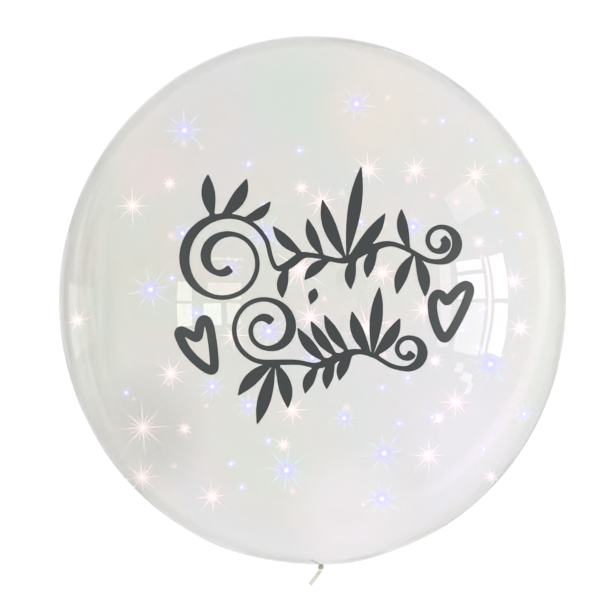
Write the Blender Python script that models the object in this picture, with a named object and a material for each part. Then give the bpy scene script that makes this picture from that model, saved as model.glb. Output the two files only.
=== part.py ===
# A clear bubble balloon, inflated and sealed, lying on its back with its decoration up.
# Metres, +Z up, the neck to -Y.
import math

import bmesh
import bpy
from mathutils import Vector
from mathutils.geometry import delaunay_2d_cdt

# Film envelope: an ellipsoid of revolution about the neck axis, with a small flat spot where it lies.
FILM_WIDTH = 0.500
FILM_LENGTH = 0.521
REST_SPOT_RADIUS = 0.052
FILM_SIDES = 64
FILM_RINGS = 26

# Gathered neck. The gather sits a little off the middle, as it is drawn together by hand.
GATHER_RADIUS = 0.014
GATHER_OFFSET = 0.008
GATHER_REACH = 0.090
PLEATS = 16
PLEAT_DEPTH = 0.07
PLEAT_REACH = 0.045
NECK_RADIUS = 0.0015
TAIL_RADIUS = 0.0019
TAIL_LENGTH = 0.0205
TAIL_TURN = math.radians(34)

# Tie: a small wound band round the gathered neck.
TIE_LENGTH = 0.0034
TIE_WALL = 0.0010
TIE_BEYOND_FILM = 0.0024
FIT_GAP = 0.0003

# Vinyl decoration on the upper side: two rows of leafy scrollwork, a bud and two hearts. It is drawn flat,
# x to the right and y away from the neck, in units of a five-hundredth of the film's width.
DRAWING_UNIT = FILM_WIDTH / 500
VINYL_GAP = 0.0003
VINYL_THICKNESS = 0.0006
PEN_HAIRLINE = 4.3
PEN_THICK = 9.6
PEN_SLANT = math.radians(12)
OUTLINE_TOLERANCE = 0.14
LONGEST_EDGE = 11.0
GRID = 8.0

HALF_WIDTH = FILM_WIDTH / 2
HALF_LENGTH = FILM_LENGTH / 2
CENTRE_HEIGHT = math.sqrt(HALF_WIDTH**2 - REST_SPOT_RADIUS**2)
TIE_Y = -HALF_LENGTH - TIE_BEYOND_FILM


def clear_scene():
    for obj in list(bpy.data.objects):
        bpy.data.objects.remove(obj)


def principled(name, hex_colour, roughness, alpha=1.0):
    material = bpy.data.materials.new(name)
    material.use_nodes = True
    shader = material.node_tree.nodes["Principled BSDF"]
    channels = [int(hex_colour[i : i + 2], 16) / 255 for i in (1, 3, 5)]
    linear = [c / 12.92 if c <= 0.04045 else ((c + 0.055) / 1.055) ** 2.4 for c in channels]
    shader.inputs["Base Color"].default_value = (*linear, 1)
    shader.inputs["Roughness"].default_value = roughness
    shader.inputs["Metallic"].default_value = 0
    shader.inputs["Alpha"].default_value = alpha
    return material


def add_object(name, bm, material, crease_angle):
    bmesh.ops.recalc_face_normals(bm, faces=bm.faces)
    mesh = bpy.data.meshes.new(name)
    bm.to_mesh(mesh)
    bm.free()
    mesh.shade_smooth()
    mesh.set_sharp_from_angle(angle=crease_angle)
    mesh.materials.append(material)
    obj = bpy.data.objects.new(name, mesh)
    obj.location.z = CENTRE_HEIGHT
    bpy.context.scene.collection.objects.link(obj)
    return obj


def smoothstep(value):
    t = min(1.0, max(0.0, value))
    return t * t * (3 - 2 * t)


def skin(bm, rings, close_start=None, close_end=None):
    """Joins rings of points into a closed tube. A start or end point closes it with a fan."""
    loops = [[bm.verts.new(point) for point in ring] for ring in rings]
    for first, second in zip(loops, loops[1:]):
        for i in range(len(first)):
            j = (i + 1) % len(first)
            bm.faces.new((first[i], first[j], second[j], second[i]))
    for loop, point in ((loops[0], close_start), (loops[-1], close_end)):
        if point is None:
            continue
        apex = bm.verts.new(point)
        for i in range(len(loop)):
            bm.faces.new((loop[i], loop[(i + 1) % len(loop)], apex))


def ring_about(centre, axis, radius, sides, flute=0.0, flutes=PLEATS):
    """Points round an axis that lies in the XY plane, with optional flutes."""
    side = Vector((-axis.y, axis.x, 0)).normalized()
    up = Vector((0, 0, 1))
    points = []
    for i in range(sides):
        angle = 2 * math.pi * i / sides
        reach = radius * (1 + flute * math.cos(flutes * angle))
        points.append(centre + (side * math.cos(angle) + up * math.sin(angle)) * reach)
    return points


def film_rings():
    """Rings from the crown down to the gather, then through the tie and along the tail."""
    down = Vector((0, -1, 0))
    rings = []
    last = math.pi - math.asin(GATHER_RADIUS / HALF_WIDTH)
    for i in range(1, FILM_RINGS + 1):
        turn = last * (i / FILM_RINGS) if i < FILM_RINGS else last
        radius = HALF_WIDTH * math.sin(turn)
        near_neck = turn > math.pi / 2
        offset = GATHER_OFFSET * (1 - smoothstep(radius / GATHER_REACH)) if near_neck else 0
        flute = PLEAT_DEPTH * (1 - smoothstep(radius / PLEAT_REACH)) if near_neck else 0
        centre = Vector((offset, HALF_LENGTH * math.cos(turn), 0))
        rings.append(ring_about(centre, down, radius, FILM_SIDES, flute))
    tie_start = TIE_Y + TIE_LENGTH / 2
    for share, radius in ((0.35, 0.0075), (0.75, 0.0032), (1.0, NECK_RADIUS)):
        y = -HALF_LENGTH * math.cos(math.pi - last) * (1 - share) + tie_start * share
        y = min(y, -HALF_LENGTH + 0.0004)
        rings.append(ring_about(Vector((GATHER_OFFSET, y, 0)), down, radius, FILM_SIDES, PLEAT_DEPTH))
    return rings, Vector((GATHER_OFFSET, tie_start, 0))


def tail_rings(start):
    """The twisted tail: straight through the tie, then bent aside and a little flared to its cut end."""
    rings = []
    centre = start.copy()
    steps = 5
    for i in range(1, steps + 1):
        share = i / steps
        turn = TAIL_TURN * smoothstep(share * 2.2) if i > 1 else 0
        axis = Vector((-math.sin(turn), -math.cos(turn), 0))
        length = TIE_LENGTH if i == 1 else (TAIL_LENGTH - TIE_LENGTH / 2) / (steps - 1)
        centre = centre + axis * length
        radius = NECK_RADIUS if i == 1 else NECK_RADIUS + (TAIL_RADIUS - NECK_RADIUS) * share
        rings.append(ring_about(centre, axis, radius, FILM_SIDES, 0.0 if i == 1 else PLEAT_DEPTH, 8))
    return rings, centre


def make_film(material):
    bm = bmesh.new()
    body, neck = film_rings()
    tail, end = tail_rings(neck)
    skin(bm, body + tail, Vector((0, HALF_LENGTH, 0)), end)
    everything = list(bm.verts) + list(bm.edges) + list(bm.faces)
    floor = Vector((0, 0, -CENTRE_HEIGHT))
    bmesh.ops.bisect_plane(
        bm, geom=everything, plane_co=floor, plane_no=Vector((0, 0, -1)), clear_outer=True
    )
    rim = [edge for edge in bm.edges if edge.is_boundary]
    bmesh.ops.edgeloop_fill(bm, edges=rim)
    return add_object("film_envelope", bm, material, math.radians(40))


def make_tie(material):
    """A short band with rounded shoulders, its hole a fit gap wider than the neck."""
    inner = NECK_RADIUS + FIT_GAP
    outer = inner + TIE_WALL
    sides = 20
    half = TIE_LENGTH / 2 - FIT_GAP
    centre = Vector((GATHER_OFFSET, TIE_Y, 0))
    down = Vector((0, -1, 0))
    bm = bmesh.new()
    shoulder = TIE_WALL * 0.35
    profile = [
        (inner, half),
        (outer - shoulder, half),
        (outer, half - shoulder),
        (outer, shoulder - half),
        (outer - shoulder, -half),
        (inner, -half),
    ]
    loops = []
    for radius, along in profile:
        ring = ring_about(centre - down * along, down, radius, sides)
        loops.append([bm.verts.new(point) for point in ring])
    for first, second in zip(loops, loops[1:] + loops[:1]):
        for i in range(sides):
            j = (i + 1) % sides
            bm.faces.new((first[i], first[j], second[j], second[i]))
    return add_object("neck_tie", bm, material, math.radians(35))


# Pen strokes. A stroke is a list of plane points and a list of widths, both in drawing units.


def curve_through(points, step=1.6):
    """A smooth curve through a few points."""
    padded = [2 * points[0] - points[1], *points, 2 * points[-1] - points[-2]]
    curve = []
    for p0, p1, p2, p3 in zip(padded, padded[1:], padded[2:], padded[3:]):
        count = max(2, round((p2 - p1).length / step))
        for i in range(count):
            t = i / count
            curve.append(
                0.5
                * (
                    2 * p1
                    + (p2 - p0) * t
                    + (2 * p0 - 5 * p1 + 4 * p2 - p3) * t * t
                    + (3 * p1 - p0 - 3 * p2 + p3) * t**3
                )
            )
    curve.append(points[-1])
    return curve


def plane(*pairs):
    return [Vector(pair) for pair in pairs]


def scroll(centre, start, turns, outer, inner, ease=1.0):
    """A spiral that winds in. Turns are positive anticlockwise, angles in degrees."""
    count = max(8, round(abs(turns) * 16))
    points = []
    for i in range(count + 1):
        t = i / count
        radius = outer + (inner - outer) * t**ease
        angle = math.radians(start) + 2 * math.pi * turns * t
        points.append(Vector(centre) + Vector((math.cos(angle), math.sin(angle))) * radius)
    return points


def pen(points, hairline=PEN_HAIRLINE, thick=PEN_THICK, closed=False, end=None):
    """Gives a line the widths of a slanted pen: thick going down, thin going up."""
    count = len(points)
    widths = []
    for i in range(count):
        before = points[i - 1] if i or closed else points[i]
        after = points[(i + 1) % count] if i < count - 1 or closed else points[i]
        way = (after - before).normalized()
        down = max(0.0, -(way.x * math.sin(PEN_SLANT) + way.y * math.cos(PEN_SLANT)))
        widths.append(hairline + (thick - hairline) * down**1.3)
    for _ in range(6):
        around = [
            (widths[i - 1] if i or closed else widths[i])
            + (widths[(i + 1) % count] if i < count - 1 or closed else widths[i])
            for i in range(count)
        ]
        widths = [(pair + 2 * width) / 4 for pair, width in zip(around, widths)]
    if end is not None:
        swell = min(12, count - 1)
        for i in range(swell + 1):
            share = smoothstep(1 - i / swell)
            widths[-1 - i] = widths[-1 - i] * (1 - share) + end * share
    return points, widths


def leaf(base, angle, length, width, bow=0.0):
    """A solid leaf, pointed at its tip, that grows from its base."""
    way = Vector((math.cos(math.radians(angle)), math.sin(math.radians(angle))))
    across = Vector((-way.y, way.x))
    points, widths = [], []
    for i in range(15):
        t = i / 14
        points.append(Vector(base) + way * length * t + across * bow * 4 * t * (1 - t))
        widths.append(max(1.4, width * math.sin(math.pi * t**1.2) ** 0.75))
    return points, widths


def closed_outline(points):
    """An outline drawn through points with an even pen."""
    around = curve_through([points[-1], *points, points[0], points[1]])
    first = min(range(len(around) // 4), key=lambda i: (around[i] - points[0]).length)
    last = min(range(len(around) // 2, len(around)), key=lambda i: (around[i] - points[0]).length)
    return pen(around[first:last], 8.2, 8.8, closed=True)


def area_of(loop):
    return sum(a.x * b.y - b.x * a.y for a, b in zip(loop, loop[1:] + loop[:1])) / 2


def anticlockwise(loop):
    return loop if area_of(loop) > 0 else loop[::-1]


def stroke_triangles(points, widths):
    """The triangles that a stroke covers. An open stroke has square ends with softened corners."""
    closed = (points[0] - points[-1]).length < 6 and len(points) > 30
    points, widths = list(points), list(widths)
    if not closed:
        for first, second in ((0, 1), (-1, -2)):
            way = (points[first] - points[second]).normalized()
            half = widths[first] / 2
            tip = points[first]
            extra = [(tip + way * half * s, half * 2 * g) for s, g in ((0.3, 0.96), (0.5, 0.82), (0.6, 0.6))]
            for point, width in extra:
                where = 0 if first == 0 else len(points)
                points.insert(where, point)
                widths.insert(where, width)
    count = len(points)
    edges = []
    for i in range(count):
        before = points[i - 1] if i or closed else points[i]
        after = points[(i + 1) % count] if i < count - 1 or closed else points[i]
        way = (after - before).normalized()
        across = Vector((-way.y, way.x)) * widths[i] / 2
        edges.append((points[i] + across, points[i] - across))
    pairs = zip(edges, edges[1:] + edges[:1]) if closed else zip(edges, edges[1:])
    triangles = []
    for (a, b), (c, d) in pairs:
        triangles += [[b, d, c], [b, c, a]]
    return [anticlockwise(triangle) for triangle in triangles if abs(area_of(triangle)) > 1e-4]


def centre_of(corners):
    return sum(corners, Vector((0, 0))) / len(corners)


def covers(piece, point):
    """Whether an anticlockwise triangle holds the point."""
    for a, b in zip(piece, piece[1:] + piece[:1]):
        if (b.x - a.x) * (point.y - a.y) < (b.y - a.y) * (point.x - a.x):
            return False
    return True


def outline_loops(pieces):
    """The boundary loops of the union of the triangles."""
    corners = [corner for piece in pieces for corner in piece]
    edges = [(i + j, i + (j + 1) % 3) for i in range(0, len(corners), 3) for j in range(3)]
    verts, _, triangles, _, _, _ = delaunay_2d_cdt(corners, edges, [], 0, 0.02)
    cells = {}
    for piece in pieces:
        low = [int(min(getattr(c, axis) for c in piece) // GRID) for axis in "xy"]
        high = [int(max(getattr(c, axis) for c in piece) // GRID) for axis in "xy"]
        for column in range(low[0], high[0] + 1):
            for row in range(low[1], high[1] + 1):
                cells.setdefault((column, row), []).append(piece)
    uses = set()
    for triangle in triangles:
        middle = centre_of([verts[i] for i in triangle])
        near = cells.get((int(middle.x // GRID), int(middle.y // GRID)), [])
        if any(covers(piece, middle) for piece in near):
            uses.update(zip(triangle, triangle[1:] + triangle[:1]))
    follows = {}
    for i, j in sorted(uses):
        if (j, i) not in uses:
            follows.setdefault(i, []).append(j)
    loops = []
    while follows:
        here = min(follows)
        loop = []
        while here in follows:
            ahead = follows[here].pop()
            if not follows[here]:
                del follows[here]
            loop.append(verts[here])
            here = ahead
        loops.append(loop)
    return loops


def simplified(points):
    """Drops the points of a line that lie within the tolerance of the line without them."""
    if len(points) < 3:
        return points
    first, last = points[0], points[-1]
    way = last - first
    worst, where = -1.0, 0
    for i in range(1, len(points) - 1):
        offset = points[i] - first
        if way.length > 1e-6:
            far = abs(way.x * offset.y - way.y * offset.x) / way.length
        else:
            far = offset.length
        if far > worst:
            worst, where = far, i
    if worst <= OUTLINE_TOLERANCE:
        return [first, last]
    return simplified(points[: where + 1])[:-1] + simplified(points[where:])


def tidy_loop(loop):
    """A loop with few points on its straights and no long edge, so that it follows the round film."""
    half = len(loop) // 2
    kept = simplified(loop[: half + 1])[:-1] + simplified(loop[half:] + loop[:1])[:-1]
    tidy = []
    for here, ahead in zip(kept, kept[1:] + kept[:1]):
        pieces = max(1, math.ceil((ahead - here).length / LONGEST_EDGE))
        tidy.extend(here + (ahead - here) * i / pieces for i in range(pieces))
    return tidy


def within(loops, point):
    """Whether a point lies inside an odd number of the loops."""
    odd = False
    for loop in loops:
        for a, b in zip(loop, loop[1:] + loop[:1]):
            if (a.y > point.y) != (b.y > point.y):
                if point.x < a.x + (b.x - a.x) * (point.y - a.y) / (b.y - a.y):
                    odd = not odd
    return odd


def on_film(point, height):
    """Where a point of the drawing lies on the film's upper side, lifted off it by a height in metres."""
    x, y = point * DRAWING_UNIT
    z = HALF_WIDTH * math.sqrt(1 - (x / HALF_WIDTH) ** 2 - (y / HALF_LENGTH) ** 2)
    normal = Vector((x / HALF_WIDTH**2, y / HALF_LENGTH**2, z / HALF_WIDTH**2)).normalized()
    return Vector((x, y, z)) + normal * height


def make_vinyl(name, strokes, material):
    """Cuts the strokes out of thin vinyl and lays them on the film."""
    pieces = [piece for stroke in strokes for piece in stroke_triangles(*stroke)]
    loops = [tidy_loop(loop) for loop in outline_loops(pieces)]
    loops = [loop for loop in loops if abs(area_of(loop)) > 1.5]
    corners, edges = [], []
    for loop in loops:
        start = len(corners)
        corners.extend(loop)
        edges.extend((start + i, start + (i + 1) % len(loop)) for i in range(len(loop)))
    verts, _, triangles, _, _, _ = delaunay_2d_cdt(corners, edges, [], 0, 0.01)
    triangles = [t for t in triangles if within(loops, centre_of([verts[i] for i in t]))]
    bm = bmesh.new()
    top = [bm.verts.new(on_film(point, VINYL_GAP + VINYL_THICKNESS)) for point in verts]
    bottom = [bm.verts.new(on_film(point, VINYL_GAP)) for point in verts]
    sides = set()
    for triangle in triangles:
        bm.faces.new([top[i] for i in triangle])
        bm.faces.new([bottom[i] for i in reversed(triangle)])
        sides.update(zip(triangle, triangle[1:] + triangle[:1]))
    for i, j in sorted(sides):
        if (j, i) not in sides:
            bm.faces.new((top[i], bottom[i], bottom[j], top[j]))
    bmesh.ops.delete(bm, geom=[vert for vert in bm.verts if not vert.link_faces], context="VERTS")
    return add_object(name, bm, material, math.radians(30))


def sprout(base, angles, lengths, width):
    """Leaves that fan out from one point. The outer ones bow outwards."""
    middle = sum(angles) / len(angles)
    return [
        leaf(base, angle, length, width, 3 if angle > middle + 5 else -3 if angle < middle - 5 else 0)
        for angle, length in zip(angles, lengths)
    ]


def leaves_beside(stem, side, shares, length, width=10.5, spread=52):
    """Leaves that grow from a stem at some shares of its way, on its left (side 1) or its right (side -1)."""
    leaves = []
    for share in shares:
        where = round(share * (len(stem) - 1))
        way = stem[where + 1] - stem[where - 1]
        angle = math.degrees(math.atan2(way.y, way.x)) + side * spread
        leaves.append(leaf(stem[where], angle, length, width, -side * 2.4))
    return leaves


def upper_row():
    """A leafy branch between a small scroll and a big one, with a tall spray and two hanging leaves."""
    big = scroll((-82.5, 37.5), 3, 1.8, 43, 9.5, 1.6)
    small = scroll((119, 55), -95, 1.35, 19, 4.8, 1.1)
    wave = plane((106, 38), (88, 48), (70, 53), (48, 46), (28, 37), (6, 41), (-10, 42), (-23, 33), (-34, 30))
    strokes = [pen(curve_through(small[::-1] + wave + big), end=8)]
    strokes += [leaf((-93.5, 76.5), 98, 42, 13, 2), leaf((-88, 77.5), 55, 44, 13, -4)]
    strokes += [leaf((-68, 75.5), 31, 32, 10, -4)]
    stem = curve_through(wave)
    strokes += leaves_beside(stem, -1, (0.12, 0.68, 0.81), 39)
    strokes += leaves_beside(stem, 1, (0.33, 0.48, 0.64, 0.93), 31)
    strokes += sprout((31, 38), (112, 81, 50), (60, 88, 56), 12.5)
    strokes += sprout((95, 44), (-114, -76), (41, 41), 11.5)
    return strokes


def lower_row():
    """A second branch under the first: its scroll turns the other way and has leaves that hang from it."""
    big = scroll((-44, -26), -100, -1.55, 32, 8, 1.3)
    small = scroll((88, -47), -100, 1.15, 17.5, 5.5)
    wave = plane((72, -61), (57, -52), (40, -48), (22, -54), (4, -61), (-14, -58), (-32, -58))
    strokes = [pen(curve_through(small[::-1] + wave + big), end=8)]
    stem = curve_through(wave)
    strokes += leaves_beside(stem, -1, (0.38, 0.49, 0.595), 42, spread=74)
    strokes += leaves_beside(stem, 1, (0.36, 0.51, 0.66), 29)
    strokes += sprout((55, -53), (114, 84, 54), (46, 65, 44), 12)
    strokes += sprout((-36, -58), (-138, -106, -74), (46, 60, 44), 12.5)
    return strokes


def left_heart():
    """A freehand heart that leans to the right, its right lobe raised high."""
    lobe = plane((-109, -35), (-117.5, -31.3), (-124.1, -28.3), (-126.7, -31.3), (-120.8, -44.7))
    tip = plane((-111.7, -55.4), (-101, -63.8), (-94.1, -65.7), (-92.8, -59.1), (-93.9, -44.3))
    raised = plane((-96.3, -28), (-99.1, -20), (-103.1, -17.9), (-106.3, -23))
    return [closed_outline(lobe + tip + raised)]


def right_heart():
    """A freehand heart that stands on its tip, its right lobe raised higher."""
    lobe = plane((125.3, -1), (121.3, 4.5), (116.6, 6), (112.7, 1.5), (111.7, -6.6), (113.3, -17.3))
    tip = plane((117.1, -28), (122.7, -35.8), (128.4, -31.7), (136.9, -17.3), (144.4, -1.6))
    raised = plane((147.8, 10.2), (144.4, 14.4), (137.3, 10.9), (130.9, 4.4))
    return [closed_outline(lobe + tip + raised)]


def main():
    clear_scene()
    film = principled("clear_film", "#E2E2DE", 0.06, 0.35)
    tie = principled("tie_band", "#6E6E62", 0.55)
    vinyl = principled("grey_vinyl", "#505656", 0.42)
    make_film(film)
    make_tie(tie)
    make_vinyl("decal_upper_row", upper_row(), vinyl)
    make_vinyl("decal_lower_row", lower_row(), vinyl)
    make_vinyl("decal_bud", [leaf((-2.5, -3.5), 74, 15, 9.5)], vinyl)
    make_vinyl("decal_heart_left", left_heart(), vinyl)
    make_vinyl("decal_heart_right", right_heart(), vinyl)


main()
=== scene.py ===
import math
import random

import bmesh
import bpy
from mathutils import Matrix, Vector


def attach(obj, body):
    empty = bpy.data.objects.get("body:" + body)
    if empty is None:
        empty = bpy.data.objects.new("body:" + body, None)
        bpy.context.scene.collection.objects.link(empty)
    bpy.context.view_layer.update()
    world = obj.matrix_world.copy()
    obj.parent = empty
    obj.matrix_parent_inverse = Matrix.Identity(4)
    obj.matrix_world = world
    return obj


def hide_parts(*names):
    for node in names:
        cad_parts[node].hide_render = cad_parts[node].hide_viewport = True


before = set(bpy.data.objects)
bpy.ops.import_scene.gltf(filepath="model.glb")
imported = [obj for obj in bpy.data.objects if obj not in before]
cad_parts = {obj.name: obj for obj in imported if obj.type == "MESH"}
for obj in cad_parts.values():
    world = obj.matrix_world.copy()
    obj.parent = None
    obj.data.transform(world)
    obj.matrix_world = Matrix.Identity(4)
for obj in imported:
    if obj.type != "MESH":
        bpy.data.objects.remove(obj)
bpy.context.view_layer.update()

# Film envelope. One bubble of clear stretch polyurethane, blown from a disc and inflated to 0.5 m. It lies on
# its back on a small flattened spot, and its neck is gathered by hand at -Y and ends in a short fluted tail.
# The wall is thin, so it is modelled as a real double-faced skin.
HALF_WIDTH = 0.250
HALF_LENGTH = 0.2605
REST_SPOT_RADIUS = 0.052
CENTRE = Vector((0, 0, math.sqrt(HALF_WIDTH**2 - REST_SPOT_RADIUS**2)))
LEAST_HEIGHT = 0.0002
FILM_WALL = 0.0004
FILM_SIDES = 192
FILM_RINGS = 120
GATHER_RADIUS = 0.014
GATHER_OFFSET = 0.008
GATHER_REACH = 0.090
NECK_RADIUS = 0.0015
NECK_SHARES = (0.2, 0.4, 0.6, 0.8, 1.0)
TIE_Y = -HALF_LENGTH - 0.0024
TIE_LENGTH = 0.0034
TAIL_LENGTH = 0.0221
TAIL_SPREAD = 0.0004
TAIL_TURN = math.radians(37)
TAIL_TURN_STARTS = 0.12
TAIL_TURN_TAKES = 0.25
TAIL_FLUTES = 8
TAIL_FLUTE_DEPTH = 0.09
TAIL_RINGS = 14
# Gathered film folds in three sets at once: how many folds go round, how deep they are beside the first set,
# and where they start. The middle set runs on further out as faint creases.
FOLD_SETS = ((16, 1.0, 0.0), (27, 0.5, 1.3), (41, 0.35, 0.4))
FOLD_DEPTH = 0.040
FOLD_REACH = 0.055
CREASE_DEPTH = 0.0035
CREASE_REACH = 0.120
DOWN = Vector((0, -1, 0))


def smoothstep(value):
    t = min(1.0, max(0.0, value))
    return t * t * (3 - 2 * t)


def pleat(angle, radius):
    """How far gathered film stands off its ring, as a share of the ring's radius, near the neck."""
    near = 1 - smoothstep(radius / FOLD_REACH)
    far = 1 - smoothstep(radius / CREASE_REACH)
    folds = sum(depth * math.cos(count * angle + start) for count, depth, start in FOLD_SETS)
    count, _, start = FOLD_SETS[1]
    return FOLD_DEPTH * near * folds + CREASE_DEPTH * far * math.cos(count * angle + start)


def film_ring(centre, axis, radius, folds=True, flute=0.0):
    side = Vector((-axis.y, axis.x, 0)).normalized()
    ring = []
    for i in range(FILM_SIDES):
        angle = 2 * math.pi * i / FILM_SIDES
        reach = radius * (1 + (pleat(angle, radius) if folds else flute * math.cos(TAIL_FLUTES * angle)))
        point = centre + (side * math.cos(angle) + Vector((0, 0, 1)) * math.sin(angle)) * reach
        point.z = max(point.z, LEAST_HEIGHT - CENTRE.z)
        ring.append(point)
    return ring


def bubble_rings():
    """Rings from the crown to the gather, which stands a little to one side."""
    last = math.pi - math.asin(GATHER_RADIUS / HALF_WIDTH)
    rings = []
    for i in range(1, FILM_RINGS + 1):
        turn = last * i / FILM_RINGS
        radius = HALF_WIDTH * math.sin(turn)
        past_middle = turn > math.pi / 2
        offset = GATHER_OFFSET * (1 - smoothstep(radius / GATHER_REACH)) if past_middle else 0
        centre = Vector((offset, HALF_LENGTH * math.cos(turn), 0))
        rings.append(film_ring(centre, DOWN, radius, folds=past_middle))
    return rings


def neck_rings(start, end):
    """Rings from the gather, quickly drawn in, and on through the tie."""
    rings = []
    for share in NECK_SHARES:
        radius = GATHER_RADIUS + (NECK_RADIUS - GATHER_RADIUS) * (1 - (1 - share) ** 2)
        centre = Vector((GATHER_OFFSET, start + (end - start) * share**1.5, 0))
        rings.append(film_ring(centre, DOWN, radius))
    return rings


def tail_rings(start):
    """Rings along the tail, which turns aside just below the tie, and the point where it ends."""
    centre = Vector((GATHER_OFFSET, start, 0))
    rings = []
    for i in range(1, TAIL_RINGS + 1):
        share = i / TAIL_RINGS
        turn = TAIL_TURN * smoothstep((share - TAIL_TURN_STARTS) / TAIL_TURN_TAKES)
        axis = Vector((-math.sin(turn), -math.cos(turn), 0))
        centre = centre + axis * (TAIL_LENGTH / TAIL_RINGS)
        radius = NECK_RADIUS + TAIL_SPREAD * share
        rings.append(film_ring(centre, axis, radius, folds=False, flute=TAIL_FLUTE_DEPTH * share))
    return rings, centre


def build_film():
    rings = bubble_rings()
    tie_end = TIE_Y + TIE_LENGTH / 2
    rings += neck_rings(rings[-1][0].y, tie_end)
    tail, end = tail_rings(tie_end)
    bm = bmesh.new()
    loops = [[bm.verts.new(point + CENTRE) for point in ring] for ring in rings + tail]
    for first, second in zip(loops, loops[1:]):
        for i in range(FILM_SIDES):
            j = (i + 1) % FILM_SIDES
            bm.faces.new((first[i], first[j], second[j], second[i]))
    for loop, point in ((loops[0], Vector((0, HALF_LENGTH, 0))), (loops[-1], end)):
        apex = bm.verts.new(point + CENTRE)
        for i in range(FILM_SIDES):
            bm.faces.new((loop[i], loop[(i + 1) % FILM_SIDES], apex))
    bmesh.ops.recalc_face_normals(bm, faces=bm.faces)
    mesh = bpy.data.meshes.new("film")
    bm.to_mesh(mesh)
    bm.free()
    mesh.shade_smooth()
    return mesh


def linear(hex_colour):
    channels = [int(hex_colour[i : i + 2], 16) / 255 for i in (1, 3, 5)]
    return (*(c / 12.92 if c <= 0.04045 else ((c + 0.055) / 1.055) ** 2.4 for c in channels), 1.0)


def add_node(tree, kind, settings=None, links=None, **values):
    """Adds one node. Settings are its attributes, values its inputs, links its inputs from sockets."""
    node = tree.nodes.new(kind)
    for key, value in (settings or {}).items():
        setattr(node, key, value)
    for key, value in values.items():
        node.inputs[key.replace("_", " ")].default_value = value
    for key, socket in (links or {}).items():
        tree.links.new(socket, node.inputs[key])
    return node


def fill_ramp(node, stops):
    """Sets the stops of a colour ramp, pairs of position and colour, and gives its output."""
    ramp = node.color_ramp
    ramp.elements[0].position, ramp.elements[1].position = stops[0][0], stops[-1][0]
    for position, _ in stops[1:-1]:
        ramp.elements.new(position)
    for element, (_, colour) in zip(ramp.elements, stops):
        element.color = linear(colour)
    return node.outputs["Color"]


def new_material(name):
    material = bpy.data.materials.new(name)
    material.use_nodes = True
    tree = material.node_tree
    shader = tree.nodes["Principled BSDF"]
    return material, tree, shader


# Clear blown polyurethane film: glossy and see-through, with the faint clouds of grey-green, beige and
# lavender that stretched film shows where its thickness changes. Painted shade makes it warmer and darker on
# the left, and greyer at the rim, where the wall is seen at a slant. On the left, long faint dark streaks of
# painted reflection run from the neck to the crown. Each span gives the two places, in metres, between which
# a layer comes in.
CLOUD_SPACING = 0.1667
CLOUDS = ((0.32, "#EBE9E5"), (0.42, "#E8EBE8"), (0.49, "#ECEAE8"), (0.56, "#ECEAEB"), (0.63, "#E9EAED"),
          (0.70, "#EBEAED"))
# Painted shade: the tone runs from warmer and darker on the left to white on the right.
LEFT_PAINTED_SHADE = "#F9F9F7"
RIGHT_TONE = "#FFFFFF"
TOWARDS_RIGHT = (1.0, -0.4, 0.0)
RIGHT_TONE_SPAN = {"From_Min": -0.27, "From_Max": 0.20}
# Each broad patch is its middle, x and y in metres from the film's middle, its radius and its colour.
FILM_PATCHES = (
    (-0.020, 0.205, 0.070, "#E2E8E3"),
    (0.065, 0.190, 0.080, "#EDE9E4"),
    (-0.160, 0.125, 0.045, "#ECE5E4"),
    # The next patch, darker, at lower left, is painted shade.
    (-0.170, -0.130, 0.080, "#DDDCD9"),
    (0.035, -0.205, 0.075, "#F0EDEF"),
    (0.155, -0.140, 0.080, "#EEECF0"),
    (0.005, -0.268, 0.013, "#E0E3D0"),
)
PATCH_COVER = 0.8
PATCH_CORE_SHARE = 0.25
# Painted shade at the rim: the greys come in where the wall is seen at a slant.
RIM_SHADE_GREYS = ((0.58, "#FFFFFF"), (0.68, "#F9F9F9"), (0.75, "#F0F0F0"), (0.86, "#E0E1E0"))
RIM_SPAN = {"From_Min": -0.255, "From_Max": -0.200}
# Painted reflection: long faint dark streaks on the left, their spacing, length, greys and span.
STREAK_SPACING = 0.0278
STREAK_LENGTH = 0.1667
PAINTED_REFLECTION_STREAKS = ((0.38, "#EDECEA"), (0.50, "#F9F9F8"), (0.62, "#FFFFFF"))
STREAK_SPAN = {"From_Min": -0.190, "From_Max": -0.235}
RIPPLE_SPACING = 0.0909
RIPPLE_HEIGHT = 0.004
MIXED = {"data_type": "RGBA"}
TINTED = {"data_type": "RGBA", "blend_type": "MULTIPLY"}


def cloudy_tint(tree, place):
    """Soft clouds, in a tone that turns warmer and darker towards the left: painted shade."""
    drift = add_node(tree, "ShaderNodeTexNoise", links={"Vector": place}, Scale=1 / CLOUD_SPACING, Detail=1.5,
                     Roughness=0.4)
    clouds = fill_ramp(add_node(tree, "ShaderNodeValToRGB", links={"Fac": drift.outputs["Fac"]}), CLOUDS)
    across = add_node(tree, "ShaderNodeVectorMath", {"operation": "DOT_PRODUCT"}, {0: place})
    across.inputs[1].default_value = TOWARDS_RIGHT
    side = add_node(tree, "ShaderNodeMapRange", links={"Value": across.outputs["Value"]}, **RIGHT_TONE_SPAN)
    tone = add_node(tree, "ShaderNodeMix", MIXED, {"Factor": side.outputs["Result"]})
    tone.inputs[6].default_value = linear(LEFT_PAINTED_SHADE)
    tone.inputs[7].default_value = linear(RIGHT_TONE)
    return add_node(tree, "ShaderNodeMix", TINTED, {6: clouds, 7: tone.outputs[2]}, Factor=1.0).outputs[2]


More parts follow.
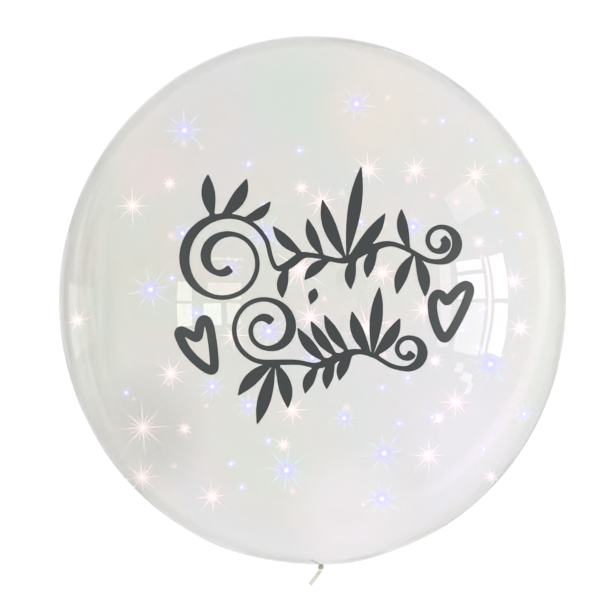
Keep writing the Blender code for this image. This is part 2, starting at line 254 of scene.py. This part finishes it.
def patched_tint(tree, place, tint):
    """The tint with the broad patches laid over it, each fading out to its radius."""
    fading = {"interpolation_type": "SMOOTHSTEP"}
    for x, y, radius, colour in FILM_PATCHES:
        flat = add_node(tree, "ShaderNodeVectorMath", {"operation": "MULTIPLY_ADD"}, {0: place})
        flat.inputs[1].default_value = (1, 1, 0)
        flat.inputs[2].default_value = (-x, -y, 0)
        away = add_node(tree, "ShaderNodeVectorMath", {"operation": "LENGTH"}, {0: flat.outputs["Vector"]})
        near = add_node(tree, "ShaderNodeMapRange", fading, {"Value": away.outputs["Value"]}, From_Min=radius,
                        From_Max=radius * PATCH_CORE_SHARE, To_Max=PATCH_COVER)
        patch = add_node(tree, "ShaderNodeMix", MIXED, {"Factor": near.outputs["Result"], 6: tint})
        patch.inputs[7].default_value = linear(colour)
        tint = patch.outputs[2]
    return tint


def rim_shaded_tint(tree, parts, tint):
    """The tint with painted rim shade: greyer where the wall is seen at a slant, but not round the neck."""
    slant = add_node(tree, "ShaderNodeLayerWeight", Blend=0.5).outputs["Facing"]
    rim = fill_ramp(add_node(tree, "ShaderNodeValToRGB", links={"Fac": slant}), RIM_SHADE_GREYS)
    above = add_node(tree, "ShaderNodeMapRange", links={"Value": parts["Y"]}, **RIM_SPAN)
    layers = {"Factor": above.outputs["Result"], 6: tint, 7: rim}
    return add_node(tree, "ShaderNodeMix", TINTED, layers).outputs[2]


def reflection_streaked_tint(tree, parts, tint):
    """The tint with painted reflection streaks on the left: dark noise drawn out along the lines from the
    neck to the crown.
    """
    left = add_node(tree, "ShaderNodeMath", {"operation": "MULTIPLY"}, {0: parts["X"]})
    left.inputs[1].default_value = -1.0
    level = add_node(tree, "ShaderNodeMath", {"operation": "SUBTRACT"}, {0: parts["Z"]})
    level.inputs[1].default_value = CENTRE.z
    rise_and_left = {0: level.outputs["Value"], 1: left.outputs["Value"]}
    round_axis = add_node(tree, "ShaderNodeMath", {"operation": "ARCTAN2"}, rise_and_left)
    around_and_along = {"X": round_axis.outputs["Value"], "Y": parts["Y"]}
    lines = add_node(tree, "ShaderNodeCombineXYZ", links=around_and_along)
    drawn_out = (HALF_WIDTH / STREAK_SPACING, 1 / STREAK_LENGTH, 1.0)
    stretch = add_node(tree, "ShaderNodeMapping", links={"Vector": lines.outputs["Vector"]}, Scale=drawn_out)
    noise = add_node(tree, "ShaderNodeTexNoise", links={"Vector": stretch.outputs["Vector"]}, Scale=1.0,
                     Detail=2.5)
    ramp = add_node(tree, "ShaderNodeValToRGB", links={"Fac": noise.outputs["Fac"]})
    streaks = fill_ramp(ramp, PAINTED_REFLECTION_STREAKS)
    leftmost = add_node(tree, "ShaderNodeMapRange", links={"Value": parts["X"]}, **STREAK_SPAN)
    layers = {"Factor": leftmost.outputs["Result"], 6: tint, 7: streaks}
    return add_node(tree, "ShaderNodeMix", TINTED, layers).outputs[2]


def film_material():
    material, tree, shader = new_material("clear_polyurethane_film")
    place = add_node(tree, "ShaderNodeTexCoord").outputs["Object"]
    parts = add_node(tree, "ShaderNodeSeparateXYZ", links={"Vector": place}).outputs
    tint = patched_tint(tree, place, cloudy_tint(tree, place))
    tint = reflection_streaked_tint(tree, parts, rim_shaded_tint(tree, parts, tint))
    tree.links.new(tint, shader.inputs["Base Color"])
    waves = add_node(tree, "ShaderNodeTexNoise", links={"Vector": place}, Scale=1 / RIPPLE_SPACING,
                     Detail=1.0)
    ripple = add_node(tree, "ShaderNodeBump", links={"Height": waves.outputs["Fac"]}, Strength=0.12,
                      Distance=RIPPLE_HEIGHT)
    tree.links.new(ripple.outputs["Normal"], shader.inputs["Normal"])
    shader.inputs["Roughness"].default_value = 0.012
    shader.inputs["IOR"].default_value = 1.50
    shader.inputs["Transmission Weight"].default_value = 1.0
    return material


film = bpy.data.objects.new("clear_film_bubble", build_film())
bpy.context.scene.collection.objects.link(film)
film.data.materials.append(film_material())
wall = film.modifiers.new("wall", "SOLIDIFY")
wall.thickness = FILM_WALL
wall.offset = -1
film.visible_shadow = False
film.visible_diffuse = False
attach(film, "root")
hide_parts("film_envelope")

# Neck tie. A thin elastic thread of natural rubber, wound three times round the gathered neck and pulled
# tight, so that its own pull holds it. It thins out at both ends.
THREAD_RADIUS = 0.00055
THREAD_SIDES = 10
THREAD_END_SHARE = 0.35
COIL_RADIUS = NECK_RADIUS + 0.0003 + THREAD_RADIUS
COIL_SHARE = 0.40
COIL_TURNS = 3
COIL_STEPS = 28


def thread_ring(bm, i, count):
    """One ring of the thread, i steps along its coil."""
    angle = 2 * math.pi * i / COIL_STEPS
    along = TIE_LENGTH * COIL_SHARE * (1 - 2 * i / count)
    out = Vector((math.cos(angle), 0, math.sin(angle)))
    centre = CENTRE + Vector((GATHER_OFFSET, TIE_Y + along, 0)) + out * COIL_RADIUS
    thick = THREAD_RADIUS * (THREAD_END_SHARE if i in (0, count) else 1)
    ring = []
    for j in range(THREAD_SIDES):
        turn = 2 * math.pi * j / THREAD_SIDES
        point = centre + (out * math.cos(turn) + Vector((0, 1, 0)) * math.sin(turn)) * thick
        ring.append(bm.verts.new(point))
    return ring


def build_tie():
    bm = bmesh.new()
    count = COIL_TURNS * COIL_STEPS
    loops = [thread_ring(bm, i, count) for i in range(count + 1)]
    for first, second in zip(loops, loops[1:]):
        for j in range(THREAD_SIDES):
            k = (j + 1) % THREAD_SIDES
            bm.faces.new((first[j], first[k], second[k], second[j]))
    bm.faces.new(loops[0])
    bm.faces.new(loops[-1])
    bmesh.ops.recalc_face_normals(bm, faces=bm.faces)
    mesh = bpy.data.meshes.new("tie")
    bm.to_mesh(mesh)
    bm.free()
    mesh.shade_smooth()
    return mesh


# Natural rubber thread, dusted with talc: dull and olive grey, with a fine mottle. The grains of talc are too
# fine to show, so the mottle is drawn at 1.1 mm.
TALC_SPACING = 0.00111


def thread_material():
    material, tree, shader = new_material("talc_dusted_rubber_thread")
    place = add_node(tree, "ShaderNodeTexCoord").outputs["Object"]
    dust = add_node(tree, "ShaderNodeTexNoise", links={"Vector": place}, Scale=1 / TALC_SPACING, Detail=3.0)
    colour = add_node(tree, "ShaderNodeMix", MIXED, {"Factor": dust.outputs["Fac"]})
    colour.inputs[6].default_value = linear("#88887C")
    colour.inputs[7].default_value = linear("#A8A89A")
    tree.links.new(colour.outputs[2], shader.inputs["Base Color"])
    shader.inputs["Roughness"].default_value = 0.6
    return material


tie = bpy.data.objects.new("wound_neck_tie", build_tie())
bpy.context.scene.collection.objects.link(tie)
tie.data.materials.append(thread_material())
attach(tie, "root")
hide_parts("neck_tie")

# Vinyl decoration. Five pieces of dark grey self-adhesive vinyl, cut by a plotter and pressed on the side
# that faces up. Their outline is the CAD cut, drawn out smooth, with a darker edge of painted shade.
VINYL_EDGE_ANGLE = math.radians(50)
# Width of the ring of painted edge shade round the top of each piece.
EDGE_SHADE_WIDTH = 0.0007
SAME_POINT = 1e-6


def smooth_cut(node):
    """The cut piece, with the darker vinyl of painted edge shade down its sides and in a narrow ring round
    its top.
    """
    bm = bmesh.new()
    bm.from_mesh(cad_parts[node].data)
    bmesh.ops.remove_doubles(bm, verts=bm.verts, dist=SAME_POINT)
    crease = bm.edges.layers.float.new("crease_edge")
    for edge in bm.edges:
        if len(edge.link_faces) == 2 and edge.calc_face_angle() > VINYL_EDGE_ANGLE:
            edge[crease] = 1.0
    top = []
    for face in bm.faces:
        face.material_index = 1
        if face.normal.dot(face.calc_center_median()) > HALF_WIDTH / 2:
            top.append(face)
            face.material_index = 0
    inset = bmesh.ops.inset_region(bm, faces=top, thickness=EDGE_SHADE_WIDTH, use_even_offset=False)
    for face in inset["faces"]:
        face.material_index = 1
    mesh = bpy.data.meshes.new(node + "_cut")
    bm.to_mesh(mesh)
    bm.free()
    mesh.shade_smooth()
    mesh.set_sharp_from_angle(angle=VINYL_EDGE_ANGLE)
    return mesh


# Calendered satin vinyl: dark grey with a slight green cast and a soft, slightly uneven sheen. Its emboss of
# about 0.4 mm is too fine to show, so it is drawn at 1.5 mm. Its cut edge is the same vinyl painted a little
# darker, as painted shade along the edge.
EMBOSS_SPACING = 0.00154
EMBOSS_HEIGHT = 0.0002
VINYL_ROUGHNESS = {"To_Min": 0.42, "To_Max": 0.56}


def vinyl_material(name, dark, pale):
    material, tree, shader = new_material(name)
    place = add_node(tree, "ShaderNodeTexCoord").outputs["Object"]
    noise = add_node(tree, "ShaderNodeTexNoise", links={"Vector": place}, Scale=1 / EMBOSS_SPACING,
                     Detail=2.0)
    emboss = noise.outputs["Fac"]
    colour = add_node(tree, "ShaderNodeMix", MIXED, {"Factor": emboss})
    colour.inputs[6].default_value = linear(dark)
    colour.inputs[7].default_value = linear(pale)
    tree.links.new(colour.outputs[2], shader.inputs["Base Color"])
    rough = add_node(tree, "ShaderNodeMapRange", links={"Value": emboss}, **VINYL_ROUGHNESS)
    tree.links.new(rough.outputs["Result"], shader.inputs["Roughness"])
    relief = add_node(tree, "ShaderNodeBump", links={"Height": emboss}, Strength=0.25, Distance=EMBOSS_HEIGHT)
    tree.links.new(relief.outputs["Normal"], shader.inputs["Normal"])
    return material


vinyl = vinyl_material("satin_cut_vinyl", "#202626", "#2C3333")
# Painted shade: the same vinyl, darker, on the edge ring and the sides.
vinyl_edge_shade = vinyl_material("vinyl_edge_painted_shade", "#0B1010", "#151B1B")
for node in ("decal_upper_row", "decal_lower_row", "decal_bud", "decal_heart_left", "decal_heart_right"):
    cut = bpy.data.objects.new(node.replace("decal", "vinyl"), smooth_cut(node))
    bpy.context.scene.collection.objects.link(cut)
    cut.data.materials.append(vinyl)
    cut.data.materials.append(vinyl_edge_shade)
    cut.visible_shadow = False
    rounding = cut.modifiers.new("smooth_outline", "SUBSURF")
    rounding.levels = rounding.render_levels = 2
    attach(cut, "root")
    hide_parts(node)

# Sparkles. Points of light that hang inside the bubble, just under its upper wall, with nothing to hold
# them. Each has a white middle, a soft coloured glow and thin tapered rays, in three crossed planes so that
# it shows from every side.
CAMERA_DISTANCE = 5.0
DECORATION_LEVEL = 0.218
# The lists give what the camera sees: x, y and the reach of the rays, in millimetres at that level.
BLUE_STARS = (
    (-121, 160, 23), (41, 185, 20), (-153, 10, 23), (-46, 62, 22), (-42, -29, 20), (-25, -160, 23),
    (67, -144, 22), (65, -187, 20), (167, -60, 22), (-123, 63, 13), (-78, 30, 13), (94, 69, 15),
    (-110, -12, 10), (-95, -81, 14), (-61, -99, 14), (-1, -54, 13), (29, -111, 13), (199, -107, 11),
)
PINK_STARS = (
    (-170, 89, 18), (52, 123, 18), (96, 123, 17), (153, 118, 17), (8, 93, 17), (-13, 30, 28), (65, 26, 15),
    (189, 18, 16), (-221, -19, 13), (-75, -33, 15), (-134, -69, 17), (-20, -104, 16), (-160, -120, 26),
    (-161, -167, 19), (-95, -185, 17), (-3, -16, 16), (51, -26, 25), (104, -9, 16), (195, -26, 15),
    (134, -96, 17), (109, -146, 17), (-135, 110, 9), (-11, 106, 9), (-121, -121, 9), (-28, -136, 10),
    (118, -111, 9), (156, 55, 8), (115, -57, 9), (168, -166, 8),
)
BLUE_POINTS = (
    (-61, 128), (-46, 90), (-13, 141), (-133, 21), (122, 169), (149, 151), (176, 131), (192, 132), (42, 95),
    (45, 74), (173, 83), (195, 62), (157, -9), (140, -28), (155, -45), (89, -73), (65, -82), (81, -116),
    (112, -110), (161, -140), (-42, -132), (-77, -154), (-67, -176), (-176, -87),
)
POINT_REACH = 0.0100
PINK_SPECK_COUNT = 34
PINK_SPECK_FIELD = 0.205
PINK_SPECK_SIZES = (0.0030, 0.0055)
SPARKLE_SEED = 7
# Room that a sparkle keeps beside it and above it, in reaches, and the gap that it leaves to the film.
ROOM_BESIDE = 1.3
ROOM_ABOVE = 0.75
FILM_CLEARANCE = 0.002
OUTERMOST_SHARE = 0.97
CROSSED_PLANES = (
    (Vector((1, 0, 0)), Vector((0, 1, 0)), 1.0),
    (Vector((1, 0, 0)), Vector((0, 0, 1)), 0.6),
    (Vector((0, 1, 0)), Vector((0, 0, 1)), 0.6),
)
# A glow is made of rings: radius in metres at full size, colour and cover. Long and short rays each have a
# colour and cover at the root, and a colour and cover half way along. A ray's width is the part that grows
# with the star's size, and the part that doesn't. Full reach is in millimetres.
BLUE_LOOK = {
    "full_reach": 22,
    "glow": ((0, "#FFFFFF", 1), (0.0013, "#F8F6FF", 1), (0.0026, "#D6D4FA", 0.75),
             (0.0042, "#CECAF6", 0.6), (0.0068, "#D2CEF6", 0.30), (0.0100, "#D8DAF6", 0.10),
             (0.0130, "#DCDEF6", 0)),
    "rays": (("#B0C8F2", 1, "#D4E8F8", 0.5), ("#D8A6E4", 1, "#E2CCE8", 0.6)),
    "long_and_short": (1.4, 0.8),
    "spread": (0.9, 1.08),
    "width": (0.0018, 0.0003),
    "turns": (-0.2, 0.2),
}
PINK_LOOK = {
    "full_reach": 17,
    "glow": ((0, "#FFFFFF", 1), (0.0008, "#FFF8F9", 0.9), (0.0017, "#FFECEF", 0.62),
             (0.0030, "#FFEAED", 0.36), (0.0052, "#FFE9EC", 0.14), (0.0078, "#FFE9EC", 0)),
    "rays": (("#FFEDF0", 0.80, "#FFEAED", 0.50), ("#FFEBEF", 0.68, "#FFE8EC", 0.38)),
    "long_and_short": (1.35, 0.9),
    "spread": (0.92, 1.06),
    "width": (0.0004, 0.0012),
    "turns": (0, 0.3),
}
POINT_GLOW = ((0, "#FFFFFF", 1), (0.0008, "#F4F2FF", 1), (0.0017, "#D2D0F8", 1), (0.0031, "#D0CEF6", 0.5),
              (0.0047, "#D4D4F6", 0))
POINT_RAYS = (("#E0ECFA", 0.7, "#E0ECFA", 0.4),)
POINT_RAY_COUNT = 8
POINT_SPREAD = (0.8, 1.1)
POINT_RAY_WIDTH = 0.0011
POINT_RAY_TURN = 0.2
# The radii of a speck's rings are shares of its size.
SPECK_GLOW = ((0, "#F2DCE0", 0.7), (0.5, "#F0DCE0", 0.45), (1, "#EEDCDE", 0))
STAR_RAY_COUNT = 16
LEAST_STAR_SIZE = 0.45
LARGEST_STAR_SHARE = 1.45
RAYS_BEHIND_GLOW = 0.0003
RAY_PARTS = (0.06, 0.5, 1.0)
RAY_HALF_WAY_WIDTH = 0.7


def sparkle_place(x, y, reach):
    """Where a sparkle hangs, so that the camera sees it at x, y and its rays stay inside the film."""
    height = DECORATION_LEVEL
    for _ in range(4):
        scale = (CAMERA_DISTANCE - height) / (CAMERA_DISTANCE - DECORATION_LEVEL)
        out = math.hypot(x * scale / HALF_WIDTH, y * scale / HALF_LENGTH) + ROOM_BESIDE * reach / HALF_WIDTH
        film_height = HALF_WIDTH * math.sqrt(1 - min(out, OUTERMOST_SHARE) ** 2)
        height = film_height - ROOM_ABOVE * reach - FILM_CLEARANCE
    return CENTRE + Vector((x * scale, y * scale, height))


class Glints:
    """Collects the faces of many glints in one mesh, each corner with its own colour and cover."""

    def __init__(self):
        self.points, self.faces, self.colours = [], [], []

    def add(self, corners, colours):
        start = len(self.points)
        self.points.extend(corners)
        self.colours.extend(colours)
        self.faces.append(tuple(range(start, start + len(corners))))


def covered(hex_colour, cover):
    return (*linear(hex_colour)[:3], cover)


def add_glow(glints, middle, glow, size, sides=20):
    """A soft round glow: rings of colour round a middle point."""
    rings = [(radius * size, covered(colour, cover)) for radius, colour, cover in glow]
    turns = [2 * math.pi * k / sides for k in range(sides + 1)]
    for right, up, share in CROSSED_PLANES:
        for (r0, c0), (r1, c1) in zip(rings, rings[1:]):
            for pair in zip(turns, turns[1:]):
                ways = [right * math.cos(t) + up * math.sin(t) for t in pair]
                inner = [middle + way * r0 * share for way in ways]
                outer = [middle + way * r1 * share for way in ways]
                if r0 == 0:
                    glints.add([middle, outer[0], outer[1]], [c0, c1, c1])
                else:
                    glints.add([inner[0], outer[0], outer[1], inner[1]], [c0, c1, c1, c0])


def add_rays(glints, middle, lengths, kinds, width, turn):
    """Thin rays just behind the glow, which taper and fade towards their tips. The kinds take turns."""
    for right, up, share in CROSSED_PLANES:
        start = middle - right.cross(up) * RAYS_BEHIND_GLOW
        for i, length in enumerate(lengths):
            angle = turn + 2 * math.pi * i / len(lengths)
            way = right * math.cos(angle) + up * math.sin(angle)
            across = (up * math.cos(angle) - right * math.sin(angle)) * width / 2
            base, half, tip = (start + way * length * share * part for part in RAY_PARTS)
            root_colour, root_cover, half_colour, half_cover = kinds[i % len(kinds)]
            bright, fade = covered(root_colour, root_cover), covered(half_colour, half_cover)
            near = (base - across, base + across)
            far = (half - across * RAY_HALF_WAY_WIDTH, half + across * RAY_HALF_WAY_WIDTH)
            glints.add([near[0], far[0], far[1], near[1]], [bright, fade, fade, bright])
            glints.add([far[0], tip, far[1]], [fade, (*fade[:3], 0.0), fade])


def add_star(glints, chance, place, look):
    """A star: its glow, and long and short rays by turns, none quite like the next."""
    x, y, reach = (value / 1000 for value in place)
    middle = sparkle_place(x, y, reach)
    full = min(LARGEST_STAR_SHARE, place[2] / look["full_reach"])
    size = LEAST_STAR_SIZE + (1 - LEAST_STAR_SIZE) * full
    add_glow(glints, middle, look["glow"], size)
    shares = look["long_and_short"]
    lengths = [reach * shares[i % 2] * chance.uniform(*look["spread"]) for i in range(STAR_RAY_COUNT)]
    growth, least = look["width"]
    add_rays(glints, middle, lengths, look["rays"], growth * size + least, chance.uniform(*look["turns"]))


def add_point(glints, chance, x, y):
    """A small blue point of light with a few short rays."""
    middle = sparkle_place(x / 1000, y / 1000, POINT_REACH)
    add_glow(glints, middle, POINT_GLOW, 1, sides=16)
    lengths = [POINT_REACH * chance.uniform(*POINT_SPREAD) for _ in range(POINT_RAY_COUNT)]
    add_rays(glints, middle, lengths, POINT_RAYS, POINT_RAY_WIDTH, POINT_RAY_TURN)


def add_speck(glints, chance):
    """A faint pink speck without rays, anywhere in the field of sparkles."""
    angle, out = chance.uniform(0, 2 * math.pi), PINK_SPECK_FIELD * math.sqrt(chance.random())
    size = chance.uniform(*PINK_SPECK_SIZES)
    middle = sparkle_place(out * math.cos(angle), out * math.sin(angle), size)
    add_glow(glints, middle, SPECK_GLOW, size, sides=14)


def build_sparkles():
    chance = random.Random(SPARKLE_SEED)
    glints = Glints()
    for stars, look in ((BLUE_STARS, BLUE_LOOK), (PINK_STARS, PINK_LOOK)):
        for place in stars:
            add_star(glints, chance, place, look)
    for x, y in BLUE_POINTS:
        add_point(glints, chance, x, y)
    for _ in range(PINK_SPECK_COUNT):
        add_speck(glints, chance)
    mesh = bpy.data.meshes.new("sparkles")
    mesh.from_pydata(glints.points, [], glints.faces)
    colours = mesh.color_attributes.new("glow", "FLOAT_COLOR", "POINT")
    colours.data.foreach_set("color", [channel for colour in glints.colours for channel in colour])
    return mesh


# Glints of light: drawn as a glow, because each is far brighter than the film round it. The colour and the
# cover of each corner fade outwards, so that a glint has no edge.
def sparkle_material():
    material, tree, shader = new_material("glint_glow")
    glow = add_node(tree, "ShaderNodeVertexColor", {"layer_name": "glow"})
    shader.inputs["Base Color"].default_value = (0, 0, 0, 1)
    shader.inputs["Roughness"].default_value = 0.6
    shader.inputs["Specular IOR Level"].default_value = 0.0
    tree.links.new(glow.outputs["Color"], shader.inputs["Emission Color"])
    shader.inputs["Emission Strength"].default_value = 1.45
    tree.links.new(glow.outputs["Alpha"], shader.inputs["Alpha"])
    return material


sparkles = bpy.data.objects.new("star_glints", build_sparkles())
bpy.context.scene.collection.objects.link(sparkles)
sparkles.data.materials.append(sparkle_material())
sparkles.visible_shadow = False
sparkles.visible_diffuse = False
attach(sparkles, "root")

# Stage. A sheet of white studio paper that the balloon lies on, as far as the light reaches. The film doesn't
# mirror it, so that the balloon looks as it does when it is cut out on white.
FLOOR_SIZE = 8.0
FLOOR_DROP = 0.0003


def build_floor():
    mesh = bpy.data.meshes.new("floor")
    half = FLOOR_SIZE / 2
    corners = [(-half, -half, 0), (half, -half, 0), (half, half, 0), (-half, half, 0)]
    mesh.from_pydata(corners, [], [(0, 1, 2, 3)])
    return mesh


# White uncoated paper: almost without gloss.
def paper_material():
    material, tree, shader = new_material("white_studio_paper")
    shader.inputs["Base Color"].default_value = linear("#F4F4F4")
    shader.inputs["Roughness"].default_value = 0.95
    shader.inputs["Specular IOR Level"].default_value = 0.1
    return material


floor = bpy.data.objects.new("floor", build_floor())
bpy.context.scene.collection.objects.link(floor)
floor.location.z = -FLOOR_DROP
floor.data.materials.append(paper_material())
floor.visible_glossy = False

# Studio dome. An even white light all round. What the film mirrors from below its middle is the room beside
# the table, dimmer on the left and towards the crown than on the right, with a low lavender strip there.
DOME_STRENGTH = 1.12
# The room's stops run from straight down, 0, to the horizon, 0.5. The strip's run along a tilted height.
ROOM_LEFT = ((0.00, "#F4F4F4"), (0.04, "#EAE9E8"), (0.08, "#E9E8E6"), (0.13, "#FBFAF9"), (0.20, "#EDEBE9"),
             (0.28, "#F3F1EF"), (0.40, "#F9F8F7"), (0.50, "#FFFFFF"))
ROOM_RIGHT = ((0.00, "#F4F4F4"), (0.05, "#F1F1F1"), (0.10, "#F5F4F4"), (0.16, "#FFFDFE"), (0.50, "#FFFFFF"))
ROOM_RIGHT_WAY = (0.9, -0.3, 0)
ROOM_RIGHT_SPAN = {"From_Min": -0.75, "From_Max": 0.75}
LOW_STRIP = ((0.135, "#000000"), (0.165, "#A48FAC"), (0.215, "#A48FAC"), (0.245, "#000000"))
LOW_STRIP_TILT = (0, 0.31, 1)
STRIP_RIGHT_SPAN = {"From_Min": 0.30, "From_Max": 0.50}
STRIP_NEAR_SPAN = {"From_Min": 0.30, "From_Max": 0.12}


def room_light(dome, way, parts):
    """The room, by how high a ray of light comes from, and from which side."""
    level = add_node(dome, "ShaderNodeMapRange", links={"Value": parts["Z"]}, From_Min=-1.0)
    height = {"Fac": level.outputs["Result"]}
    left_room = fill_ramp(add_node(dome, "ShaderNodeValToRGB", links=height), ROOM_LEFT)
    right_room = fill_ramp(add_node(dome, "ShaderNodeValToRGB", links=height), ROOM_RIGHT)
    turn = add_node(dome, "ShaderNodeVectorMath", {"operation": "DOT_PRODUCT"}, {0: way})
    turn.inputs[1].default_value = ROOM_RIGHT_WAY
    share = add_node(dome, "ShaderNodeMapRange", links={"Value": turn.outputs["Value"]}, **ROOM_RIGHT_SPAN)
    sides = {"Factor": share.outputs["Result"], 6: left_room, 7: right_room}
    return add_node(dome, "ShaderNodeMix", MIXED, sides).outputs[2]


def with_low_strip(dome, way, parts, room):
    """The room with the low strip of light added to its right."""
    slope = add_node(dome, "ShaderNodeVectorMath", {"operation": "DOT_PRODUCT"}, {0: way})
    slope.inputs[1].default_value = LOW_STRIP_TILT
    level = add_node(dome, "ShaderNodeMapRange", links={"Value": slope.outputs["Value"]}, From_Min=-1.0)
    strip = fill_ramp(add_node(dome, "ShaderNodeValToRGB", links={"Fac": level.outputs["Result"]}), LOW_STRIP)
    right = add_node(dome, "ShaderNodeMapRange", links={"Value": parts["X"]}, **STRIP_RIGHT_SPAN)
    near = add_node(dome, "ShaderNodeMapRange", links={"Value": parts["Y"]}, **STRIP_NEAR_SPAN)
    near_right = {0: right.outputs["Result"], 1: near.outputs["Result"]}
    both = add_node(dome, "ShaderNodeMath", {"operation": "MULTIPLY"}, near_right)
    lights = {"Factor": both.outputs["Value"], 6: room, 7: strip}
    return add_node(dome, "ShaderNodeMix", {"data_type": "RGBA", "blend_type": "ADD"}, lights).outputs[2]


world = bpy.data.worlds.new("studio_dome")
bpy.context.scene.world = world
world.use_nodes = True
dome = world.node_tree
way = add_node(dome, "ShaderNodeTexCoord").outputs["Generated"]
parts = add_node(dome, "ShaderNodeSeparateXYZ", links={"Vector": way}).outputs
backdrop = dome.nodes["Background"]
dome.links.new(with_low_strip(dome, way, parts, room_light(dome, way, parts)), backdrop.inputs["Color"])
backdrop.inputs["Strength"].default_value = DOME_STRENGTH

# Windows. Two windows of plain soft panes stand upright beside the table and show as glints on the film. The
# last pane on the left is the light that the room gives back from low down, a faint gleam along the rim.
WINDOW_X = 0.75
WINDOW_AIM_X = 0.15
WINDOW_AIM_HEIGHT = 0.45
# Each pane is two corners, y and z, in its window's upright plane, then its radiance and colour.
RIGHT_PANES = (
    ((-0.25, 0.745), (-0.004, 0.84), 1.9, "#FFFFFF"),
    ((0.004, 0.745), (0.19, 0.84), 2.1, "#FFFFFF"),
    ((-0.24, 0.50), (-0.010, 0.69), 2.6, "#FFFCF2"),
    ((0.004, 0.50), (0.115, 0.69), 4.2, "#FFFFFF"),
    ((0.125, 0.50), (0.185, 0.69), 4.4, "#FFFFFF"),
    ((-0.22, 0.458), (0.18, 0.482), 3.2, "#FFFFFF"),
    ((-0.21, 0.33), (-0.006, 0.44), 3.8, "#FFFAF6"),
    ((0.006, 0.33), (0.175, 0.44), 4.0, "#FFFFFF"),
    ((-0.345, 0.58), (-0.30, 0.64), 2.4, "#FFEFF3"),
    ((-0.375, 0.49), (-0.33, 0.57), 2.4, "#FFF6FA"),
    ((-0.43, 0.46), (-0.36, 0.50), 2.0, "#FAF8FF"),
    ((0.36, 0.32), (0.55, 0.60), 1.2, "#FFF6FF"),
)
LEFT_PANES = (
    ((-0.14, 0.765), (-0.022, 0.895), 4.8, "#FFFAF4"),
    ((-0.008, 0.765), (0.105, 0.895), 4.0, "#FFFAF4"),
    ((-0.165, 1.00), (-0.032, 1.225), 5.0, "#FFFCFF"),
    ((-0.200, 1.29), (-0.036, 1.56), 3.2, "#FFFCFA"),
    ((-0.012, 1.00), (0.155, 1.55), 2.9, "#FFFCFC"),
    ((0.270, 0.98), (0.400, 1.55), 2.4, "#F8F8FF"),
    ((-0.160, -0.345), (0.054, 0.160), 0.38, "#FFFDFA"),
)


def add_pane(name, low, high, aim, radiance, colour):
    """One soft pane of light, from two opposite corners of a rectangle that faces a point."""
    middle = (low + high) / 2
    way = (middle - aim).normalized()
    rise = way.cross(Vector((0, 1, 0))).normalized()
    side = rise.cross(way)
    width, height = abs((high - low).dot(side)), abs((high - low).dot(rise))
    light = bpy.data.lights.new(name, "AREA")
    light.shape = "RECTANGLE"
    light.size, light.size_y = width, height
    light.energy = radiance * math.pi * width * height
    light.color = linear(colour)[:3]
    lamp = bpy.data.objects.new(name, light)
    bpy.context.scene.collection.objects.link(lamp)
    lamp.location = middle
    lamp.rotation_euler = Matrix((side, rise, way)).transposed().to_euler()
    lamp.visible_camera = False
    lamp.visible_transmission = False


for name, side, panes in (("right_window", 1, RIGHT_PANES), ("left_window", -1, LEFT_PANES)):
    x = side * WINDOW_X
    aim = Vector((side * WINDOW_AIM_X, 0, WINDOW_AIM_HEIGHT))
    for number, (low, high, radiance, colour) in enumerate(panes):
        add_pane(f"{name}_{number}", Vector((x, *low)), Vector((x, *high)), aim, radiance, colour)

# Camera. Straight above the balloon, far off with a long lens, as for a product picture. The balloon is a
# little to the right of the middle of the picture.
IMAGE_SIDE = 600
SENSOR_WIDTH = 36
BALLOON_RADIUS_PIXELS = 254.1
BALLOON_SHIFT_PIXELS = (12.7, -0.3)
focal_pixels = BALLOON_RADIUS_PIXELS / math.tan(math.asin(HALF_WIDTH / CAMERA_DISTANCE))
camera_data = bpy.data.cameras.new("camera")
camera_data.sensor_width = SENSOR_WIDTH
camera_data.lens = focal_pixels * SENSOR_WIDTH / IMAGE_SIDE
camera_data.clip_end = 10 * CAMERA_DISTANCE
camera = bpy.data.objects.new("camera", camera_data)
bpy.context.scene.collection.objects.link(camera)
shift_x, shift_y = (-pixels / focal_pixels for pixels in BALLOON_SHIFT_PIXELS)
camera.location = CENTRE + Vector((shift_x, shift_y, 1)) * CAMERA_DISTANCE
bpy.context.scene.camera = camera

bpy.context.scene.view_settings.view_transform = "Standard"
bpy.context.scene.cycles.use_denoising = True
